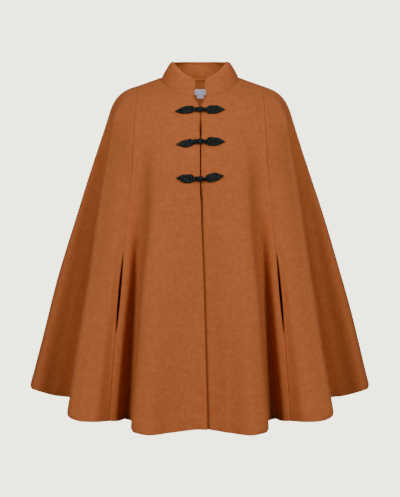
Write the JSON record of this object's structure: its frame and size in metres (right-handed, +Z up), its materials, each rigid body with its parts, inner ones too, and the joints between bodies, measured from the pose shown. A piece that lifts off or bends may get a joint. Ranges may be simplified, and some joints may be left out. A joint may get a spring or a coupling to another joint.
{
  "type": "mandarin collar cape",
  "caption": "Hip-length flared wool cape with a stand collar, frog fasteners at the front and arm slits in the princess seams, filled out as when worn.",
  "frame": {"origin": "middle of the neck, 3 mm below its side points, where the wearer's shoulders hold the cape", "axes": "+X to the wearer's left, +Y towards the wearer's back, +Z up"},
  "size_m": [0.8216, 0.4529, 0.8359],
  "materials": {
    "wool": "brushed wool melton, soft nap",
    "cord": "satin cord, slightly shiny",
    "label": "woven satin"
  },
  "bodies": {
    "root": {"right_front": "wool", "left_front": "wool", "right_side": "wool", "left_side": "wool", "back": "wool", "collar": "wool", "frog_1_right_leaf": "cord", "frog_1_left_leaf": "cord", "frog_1_loop": "cord", "frog_1_knot": "cord", "frog_2_right_leaf": "cord", "frog_2_left_leaf": "cord", "frog_2_loop": "cord", "frog_2_knot": "cord", "frog_3_right_leaf": "cord", "frog_3_left_leaf": "cord", "frog_3_loop": "cord", "frog_3_knot": "cord", "neck_label": "label", "size_tab": "label"}
  },
  "joints": []
}
